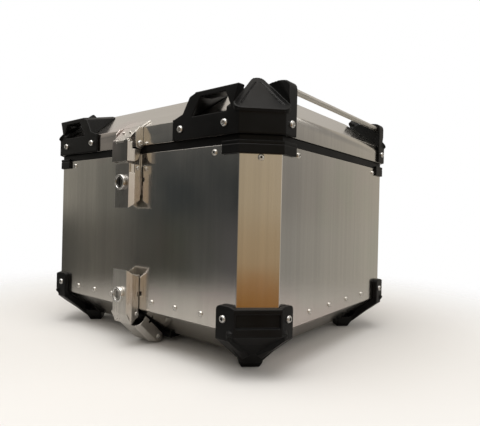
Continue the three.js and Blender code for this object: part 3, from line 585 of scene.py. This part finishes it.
def add_lid_screws():
    face = Vector((wall_high.x + GUARD_PROUD + CLEARANCE, wall_low.y - GUARD_PROUD - CLEARANCE, 0))
    for corner, (sx, sy) in CORNERS.items():
        for spot in ("inner", "outer", "side"):
            node = f"lid_screw_{corner}_{spot}"
            place = centre(node)
            if spot == "side":
                facing = RIGHT * sx
                place.x = face.x * sx
            else:
                facing = FRONT * sy
                place.y = face.y * sy
            piece = fastener_piece([screw_shape(place, facing)], f"guard_screw_{corner}_{spot}", screw_metal)
            belongs(piece, node)


add_lid_screws()

FOOT_SCREW_X = 169 * MM
FOOT_SCREW_Y = -134.6 * MM
FOOT_SCREW_RISE = 14.7 * MM


def add_foot_screws():
    height = wall_low.z + FOOT_SCREW_RISE
    seats = mirrored_seats([
        (Vector((FOOT_SCREW_X, wall_low.y - FOOT_PROUD, height)), FRONT),
        (Vector((wall_high.x + FOOT_PROUD, FOOT_SCREW_Y, height)), RIGHT),
    ])
    screws = fastener_piece([screw_shape(*seat) for seat in seats], "foot_screws", screw_metal)
    joins(screws, "case")


add_foot_screws()

# The wall's cut front right corner: how far out its face lies, and where the face's middle is.
cut_face = (wall_high.x + wall_high.y - CORNER_LEG) / math.sqrt(2) + CLEARANCE
cut_middle = (wall_high.x - wall_high.y) / math.sqrt(2)
OUTWARD = Vector((1, -1, 0)).normalized()
ALONG = Vector((1, 1, 0)).normalized()
TRIM_RIVET_X = 146.2 * MM
TRIM_RIVET_Y = -111.3 * MM
TRIM_RIVET_RISE_FRONT = 196.5 * MM
TRIM_RIVET_RISE_SIDE = 196.2 * MM
TRIM_RIVET_RISE_CORNER = 189.5 * MM


def add_trim_rivets():
    seats = mirrored_seats([
        (Vector((TRIM_RIVET_X, wall_low.y - CLEARANCE, wall_low.z + TRIM_RIVET_RISE_FRONT)), FRONT),
        (Vector((wall_high.x + CLEARANCE, TRIM_RIVET_Y, wall_low.z + TRIM_RIVET_RISE_SIDE)), RIGHT),
        (OUTWARD * cut_face + ALONG * cut_middle + UP * (wall_low.z + TRIM_RIVET_RISE_CORNER), OUTWARD),
    ])
    rivets = [rivet_shape(*seat, TRIM_RIVET_RADIUS) for seat in seats]
    joins(fastener_piece(rivets, "trim_rivets", rivet_metal), "case")


add_trim_rivets()

PAN_RIVET_RISE = 12.4 * MM
FRONT_RIVET_PITCH = 43.2 * MM
SIDE_RIVET_PITCH = 51.7 * MM


def pan_rivet_seats():
    height = wall_low.z + PAN_RIVET_RISE
    for step in (-3, -2, -1, 1, 2, 3):
        yield Vector((step * FRONT_RIVET_PITCH, wall_low.y - CLEARANCE, height)), FRONT
        yield Vector((step * FRONT_RIVET_PITCH, wall_high.y + CLEARANCE, height)), REAR
    for step in (-1.5, -0.5, 0.5, 1.5):
        yield Vector((wall_high.x + CLEARANCE, step * SIDE_RIVET_PITCH, height)), RIGHT
        yield Vector((wall_low.x - CLEARANCE, step * SIDE_RIVET_PITCH, height)), LEFT


pan_rivets = [rivet_shape(*seat) for seat in pan_rivet_seats()]
joins(fastener_piece(pan_rivets, "pan_rivets", rivet_metal), "case")


# ---------------------------------------------------------------- rails, latches and hinges

BAR_ROUNDING = 0.6 * MM


def bar_piece(node, name, axis, material):
    """A round bar that fills the CAD bar's box, with rounded ends."""
    low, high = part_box(node)
    other = [i for i in range(3) if i != axis]
    radius = min(high[i] - low[i] for i in other) / 2
    half = (high[axis] - low[axis]) / 2
    profile = [
        (radius - BAR_ROUNDING, -half), (radius, BAR_ROUNDING - half),
        (radius, half - BAR_ROUNDING), (radius - BAR_ROUNDING, half),
    ]
    facing = Vector([1.0 if i == axis else 0.0 for i in range(3)])
    shape = put_on(turned(profile, 32), (low + high) / 2, facing)
    piece = new_object(name, mesh_of(shape, name), [material])
    soft_shading(piece)
    belongs(piece, node)


for hand in ("right", "left"):
    bar_piece(f"side_rail_{hand}", f"lid_rail_{hand}", ALONG_Y, rail_metal)
    bar_piece(f"hinge_{hand}_pin", f"rear_pin_{hand}", ALONG_X, screw_metal)
bar_piece("upper_hood_pin", "hood_pin", ALONG_X, screw_metal)


PIN_PIT = 11          # the profile step at which a headed pin's socket starts


def headed_pin(node, name, shank, head_height, socket):
    """A pin along X with a domed head at each end; the right-hand head has a hexagon socket."""
    low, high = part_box(node)
    half = (high.x - low.x) / 2
    head = (high.z - low.z) / 2
    profile = [
        (head * 0.55, -half), (head * 0.88, 0.25 * head_height - half),
        (head, 0.6 * head_height - half), (head, head_height - half),
        (shank, head_height - half), (shank, half - head_height),
        (head, half - head_height), (head, half - 0.6 * head_height), (head * 0.9, half - 0.25 * head_height),
        (head * 0.68, half), (socket * 1.15, half), (socket, half - 0.05 * head_height, HEXAGON),
        (socket * 0.97, half - 0.6 * head_height, HEXAGON), (CORE, half - 0.65 * head_height),
    ]
    shape = put_on(turned(profile, pit_from=PIN_PIT), (low + high) / 2, RIGHT)
    piece = new_object(name, mesh_of(shape, name), [screw_metal, pit_shade_metal])
    soft_shading(piece)
    belongs(piece, node)


headed_pin("upper_bracket_bolt", "bracket_screw", shank=2 * MM, head_height=2.2 * MM, socket=1.6 * MM)
for latch in ("upper", "lower"):
    node = f"{latch}_lever_pin"
    headed_pin(node, f"{latch}_toggle_pin", shank=1.6 * MM, head_height=1.2 * MM, socket=0.9 * MM)
headed_pin("rack_arm_pin", "rack_link_pin", shank=2 * MM, head_height=1.6 * MM, socket=1.1 * MM)

RING_RADIUS = 10.4 * MM
RING_RISE = 4.6 * MM
SLEEVE_RADIUS = 7.9 * MM
PLUG_RADIUS = 7 * MM
PLUG_GAP = 0.3 * MM
RING_SEAT = 0.3 * MM      # how far the ring's back stands off the lever
KEY_WIDTH = 1.8 * MM
KEY_LENGTH = 9 * MM
KEY_DEPTH = 4 * MM
TAIL_LENGTH = 1.9 * MM
TAIL_WIDTH = 4 * MM


def lock_ring(node, name):
    """The polished ring round a lock, with a rolled lip, and its sleeve through the lever."""
    low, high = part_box(node)
    lip = low.y
    middle = Vector(((low.x + high.x) / 2, lip + RING_RISE, (low.z + high.z) / 2))
    depth = high.y - lip - RING_RISE
    inner = PLUG_RADIUS + PLUG_GAP
    profile = [
        (SLEEVE_RADIUS, -depth), (SLEEVE_RADIUS, RING_SEAT),
        (RING_RADIUS, RING_SEAT), (RING_RADIUS, 0.7 * RING_RISE),
        (RING_RADIUS * 0.985, 0.84 * RING_RISE), (RING_RADIUS * 0.95, 0.95 * RING_RISE),
        (RING_RADIUS * 0.9, RING_RISE), (RING_RADIUS * 0.8, RING_RISE),
        (RING_RADIUS * 0.745, 0.93 * RING_RISE), (inner, 0.82 * RING_RISE), (inner, 1 * MM - depth),
    ]
    shape = put_on(turned(profile, 40), middle, FRONT)
    piece = new_object(name, mesh_of(shape, name), [chrome_metal])
    soft_shading(piece)
    belongs(piece, node)


def slab(size, middle):
    """A plain block."""
    shape = bmesh.new()
    bmesh.ops.create_cube(shape, size=1.0)
    shape.transform(Matrix.Translation(middle) @ Matrix.Diagonal((*size, 1)))
    return shape


def cut(mesh, cutter):
    """The mesh with the cutter's shape taken out of it."""
    piece = bpy.data.objects.new("cut", mesh)
    tool = bpy.data.objects.new("cutter", cutter)
    for item in (piece, tool):
        scene.collection.objects.link(item)
    boolean = piece.modifiers.new("cut", "BOOLEAN")
    boolean.operation = "DIFFERENCE"
    boolean.object = tool
    result = bpy.data.meshes.new_from_object(piece.evaluated_get(bpy.context.evaluated_depsgraph_get()))
    for item in (piece, tool):
        bpy.data.objects.remove(item)
    return result


def lock_plug(node, name, metal):
    """The turning plug: a dished face with the key slot, and the square tail for its tongue."""
    low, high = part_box(node)
    middle = Vector(((low.x + high.x) / 2, low.y, (low.z + high.z) / 2))
    depth = high.y - low.y - TAIL_LENGTH
    face = [
        (PLUG_RADIUS, -depth), (PLUG_RADIUS, -0.4 * MM), (PLUG_RADIUS * 0.95, 0.0), (PLUG_RADIUS * 0.8, 0.0),
        (PLUG_RADIUS * 0.74, -0.5 * MM), (PLUG_RADIUS * 0.3, -0.7 * MM), (CORE, -0.7 * MM),
    ]
    body = mesh_of(put_on(turned(face, 32), middle, FRONT), name)
    slot_place = middle + REAR * 1.5 * MM
    slot = mesh_of(slab((KEY_WIDTH, KEY_DEPTH, KEY_LENGTH), slot_place), "key_slot")
    plug = cut(body, slot)
    tail_place = middle + REAR * (depth + TAIL_LENGTH / 2 - 0.1 * MM)
    square = slab((TAIL_WIDTH, TAIL_LENGTH + 0.2 * MM, TAIL_WIDTH), tail_place)
    whole = bmesh.new()
    whole.from_mesh(plug)
    whole.from_mesh(mesh_of(square, "tail"))
    piece = new_object(name, mesh_of(whole, name), [metal])
    soft_shading(piece)
    belongs(piece, node)


for place, metal in (("upper", plug_metal), ("lower", worn_plug_metal)):
    lock_ring(f"{place}_lock_barrel", f"{place}_lock_ring")
    lock_plug(f"{place}_lock_plug", f"{place}_lock_core", metal)


FINE_EDGE = 0.35 * MM
ROUND_EDGE = 0.5 * MM
FACES_FRONT = -0.9     # a face whose normal's y is below this looks to the front


def folded_piece(node, name, rounding=FINE_EDGE, front=latch_metal):
    """A folded steel part of a latch or hinge, with its edges broken. Its front can have its own metal: for
    the hood and the upper lever a darker copy of the steel, which paints shade on the front faces.
    """
    shape = clean_copy(node)
    round_edges(shape, rounding, sharper_than=22, longer_than=1.2 * MM)
    mesh = mesh_of(shape, name)
    piece = new_object(name, mesh, [latch_metal, front])
    for polygon in mesh.polygons:
        polygon.material_index = 1 if polygon.normal.y < FACES_FRONT else 0
    soft_shading(piece, 30)
    belongs(piece, node)


folded_piece("upper_lid_bracket", "lid_bracket")
folded_piece("upper_hood", "latch_hood", ROUND_EDGE, front=hood_front_shade_metal)
folded_piece("upper_base_plate", "upper_catch")
folded_piece("upper_lever", "upper_toggle", front=lever_front_shade_metal)
folded_piece("upper_lock_cam", "upper_tongue")
folded_piece("lower_base_plate", "lower_catch")
folded_piece("lower_lever", "lower_toggle", ROUND_EDGE)
folded_piece("lower_lock_cam", "lower_tongue")
folded_piece("rack_arm", "rack_link", ROUND_EDGE)
folded_piece("wall_stay_anchor", "wall_eyelet")
folded_piece("lid_stay_anchor", "lid_eyelet")
for hand in ("right", "left"):
    folded_piece(f"hinge_{hand}_body_leaf", f"wall_leaf_{hand}")
    folded_piece(f"hinge_{hand}_lid_leaf", f"lid_leaf_{hand}")


# ---------------------------------------------------------------- floor, lights and surroundings

FLOOR_RADIUS = 2.2
FLOOR_DROP = 0.0002           # keeps the floor clear of the feet
FADE_START = 0.28
FADE_END = 0.8
FLOOR_LEVELS = (0.80, 0.84)
FLOOR_WARMTH = 0.004
MIRRORED_LEVEL = 0.46         # how bright the metal mirrors the floor
MIRRORED_WARMTH = 0.02


def add_floor():
    """A round pale floor that fades out into the backdrop."""
    bpy.ops.mesh.primitive_circle_add(
        vertices=96, radius=FLOOR_RADIUS, fill_type="NGON", location=(0, 0, -FLOOR_DROP),
    )
    floor = bpy.context.object
    floor.name = "studio_floor"
    material = bpy.data.materials.new("studio_floor")
    s = Shader(material)
    place = s.place()
    reach = s.add("ShaderNodeVectorMath", {0: place}, operation="LENGTH").outputs["Value"]
    mottle = s.noise(place, 3.0, 3.0)
    duller, brighter = (grey(level, FLOOR_WARMTH) for level in FLOOR_LEVELS)
    pale = s.mix(mottle, duller, brighter)
    mirrored_ray = s.add("ShaderNodeLightPath").outputs["Is Glossy Ray"]
    colour = s.mix(mirrored_ray, pale, grey(MIRRORED_LEVEL, MIRRORED_WARMTH))
    paint = s.add("ShaderNodeBsdfDiffuse", {"Color": colour})
    s.finish_blend(s.fit(reach, FADE_START, FADE_END), paint, s.add("ShaderNodeBsdfTransparent"))
    floor.data.materials.append(material)


LAMP_COLOUR = (1, 0.98, 0.95)


def add_light(name, place, target, size, watts):
    """A soft box that looks from its place to its target."""
    data = bpy.data.lights.new(name, "AREA")
    data.shape = "RECTANGLE"
    data.size, data.size_y = size
    data.energy = watts
    data.color = LAMP_COLOUR
    light = bpy.data.objects.new(name, data)
    scene.collection.objects.link(light)
    light.location = place
    light.rotation_mode = "QUATERNION"
    light.rotation_quaternion = (Vector(place) - Vector(target)).to_track_quat("Z", "Y")
    light.visible_camera = False


BOARD_LENGTH = 0.86
BOARD_WIDTH = 0.36
BOARD_REACH = 0.5             # from the corner to the board's middle
BOARD_HEADING = Vector((0.81, -0.586, 0)).normalized()
BOARD_RISE = 0.001
BOARD_HALF = 0.5              # the board's own mesh is one unit wide and long
BOARD_SOFT_WIDTH = 0.18       # where its edges start to fade, on that mesh
BOARD_SOFT_LENGTH = 0.3
BOARD_NEAR = (0.24, 0.10, 0.012, 1)
BOARD_FAR = (0.33, 0.2, 0.09, 1)


def add_warm_board():
    """A warm-coloured board on the floor off the front right corner, which only reflections show."""
    board = bpy.data.objects.new("warm_board", bpy.data.meshes.new("warm_board"))
    shape = bmesh.new()
    bmesh.ops.create_grid(shape, x_segments=1, y_segments=1, size=BOARD_HALF)
    shape.to_mesh(board.data)
    shape.free()
    scene.collection.objects.link(board)
    turn = Matrix.Rotation(math.atan2(BOARD_HEADING.y, BOARD_HEADING.x), 4, "Z")
    corner = OUTWARD * cut_face + ALONG * cut_middle
    middle = Matrix.Translation(corner + BOARD_HEADING * BOARD_REACH + UP * BOARD_RISE)
    board.matrix_world = middle @ turn @ Matrix.Diagonal((BOARD_LENGTH, BOARD_WIDTH, 1, 1))
    material = bpy.data.materials.new("warm_board")
    s = Shader(material)
    place = s.add("ShaderNodeSeparateXYZ", {"Vector": s.place()}).outputs
    reach = s.fit(place["X"], -BOARD_HALF, BOARD_HALF)
    glow = s.add("ShaderNodeEmission", {"Color": s.mix(reach, BOARD_NEAR, BOARD_FAR)})
    across = s.fit(s.math("ABSOLUTE", place["Y"]), BOARD_SOFT_WIDTH, BOARD_HALF)
    along = s.fit(s.math("ABSOLUTE", place["X"]), BOARD_SOFT_LENGTH, BOARD_HALF)
    s.finish_blend(s.math("MAXIMUM", across, along), glow, s.add("ShaderNodeBsdfTransparent"))
    board.data.materials.append(material)
    board.visible_camera = False
    board.visible_diffuse = False
    board.visible_shadow = False


# What the polished metal mirrors at eye level, by compass direction in degrees from +X towards +Y.
SURROUNDINGS = [
    (0, (0.60, 0.56, 0.50)), (30, (0.38, 0.345, 0.30)), (57, (0.22, 0.21, 0.195)),
    (72, (0.46, 0.42, 0.355)), (110, (0.40, 0.37, 0.33)), (150, (0.55, 0.52, 0.48)),
    (172, (0.95, 0.92, 0.86)), (190, (0.80, 0.78, 0.72)), (200, (0.30, 0.285, 0.25)),
    (210, (0.27, 0.255, 0.22)), (216, (0.10, 0.10, 0.09)), (221, (0.035, 0.04, 0.042)),
    (232, (0.035, 0.038, 0.038)), (248, (0.05, 0.052, 0.048)), (280, (0.16, 0.15, 0.14)),
    (312, (0.40, 0.33, 0.23)), (328, (0.43, 0.35, 0.24)), (342, (0.85, 0.80, 0.72)),
    (360, (0.60, 0.56, 0.50)),
]

# The same below eye level, where the bright panel is missing and the dark side is broken by a faint band.
SURROUNDINGS_LOW = [
    (0, (0.50, 0.47, 0.42)), (57, (0.26, 0.25, 0.23)), (72, (0.44, 0.41, 0.35)),
    (110, (0.38, 0.35, 0.31)), (175, (0.30, 0.28, 0.26)), (200, (0.04, 0.045, 0.042)),
    (208, (0.02, 0.02, 0.02)), (212, (0.19, 0.18, 0.15)), (216, (0.05, 0.045, 0.045)),
    (222, (0.055, 0.06, 0.045)), (232, (0.09, 0.085, 0.09)), (250, (0.05, 0.05, 0.048)),
    (280, (0.14, 0.13, 0.12)), (312, (0.36, 0.27, 0.16)), (328, (0.38, 0.28, 0.17)),
    (360, (0.50, 0.47, 0.42)),
]

# The heights of a direction, from -1 straight down to 1 straight up, over which the levels blend.
LOW_BLEND = (-0.05, 0.02)
CEILING_BLEND = (0.06, 0.6)
CEILING = (0.55, 0.515, 0.47, 1)
WHITE = (1, 1, 1, 1)


def direction_ramp(shader, turn, stops):
    """The colour in a direction, with the turn running from 0 to 1 round the compass."""
    ramp = shader.add("ShaderNodeValToRGB", {"Fac": turn})
    elements = ramp.color_ramp.elements
    while len(elements) < len(stops):
        elements.new(0.5)
    for element, (degrees, colour) in zip(elements, stops):
        element.position = degrees / 360
        element.color = (*colour, 1)
    return ramp.outputs[0]


def add_world():
    """What the metal mirrors all round, with plain white behind the object for the camera."""
    world = bpy.data.worlds.new("studio")
    scene.world = world
    s = Shader(world)
    direction = s.add("ShaderNodeTexCoord").outputs["Generated"]
    parts = s.add("ShaderNodeSeparateXYZ", {"Vector": direction}).outputs
    angle = s.math("ARCTAN2", parts["Y"], parts["X"])
    turn = s.math("FRACT", s.math("DIVIDE", angle, 2 * math.pi))
    below = direction_ramp(s, turn, SURROUNDINGS_LOW)
    above = direction_ramp(s, turn, SURROUNDINGS)
    level = s.mix(s.fit(parts["Z"], *LOW_BLEND), below, above)
    whole = s.mix(s.fit(parts["Z"], *CEILING_BLEND), level, CEILING)
    room = s.add("ShaderNodeBackground", {"Color": whole, "Strength": 1.0})
    backdrop = s.add("ShaderNodeBackground", {"Color": WHITE, "Strength": 1.0})
    seen = s.add("ShaderNodeLightPath").outputs["Is Camera Ray"]
    s.finish_blend(seen, room, backdrop, output="ShaderNodeOutputWorld")


add_floor()
add_warm_board()
add_world()
add_light("top_softbox", place=(0.25, -0.6, 1.75), target=(0.1, -0.1, 0), size=(1.6, 1.3), watts=22)
add_light("side_softbox", place=(1.7, 0.9, 1.1), target=(0, 0, 0.2), size=(1.0, 1.0), watts=5)
add_light("left_softbox", place=(-1.2, -1.4, 1.9), target=(0, 0, 0.2), size=(1.2, 1.0), watts=6)
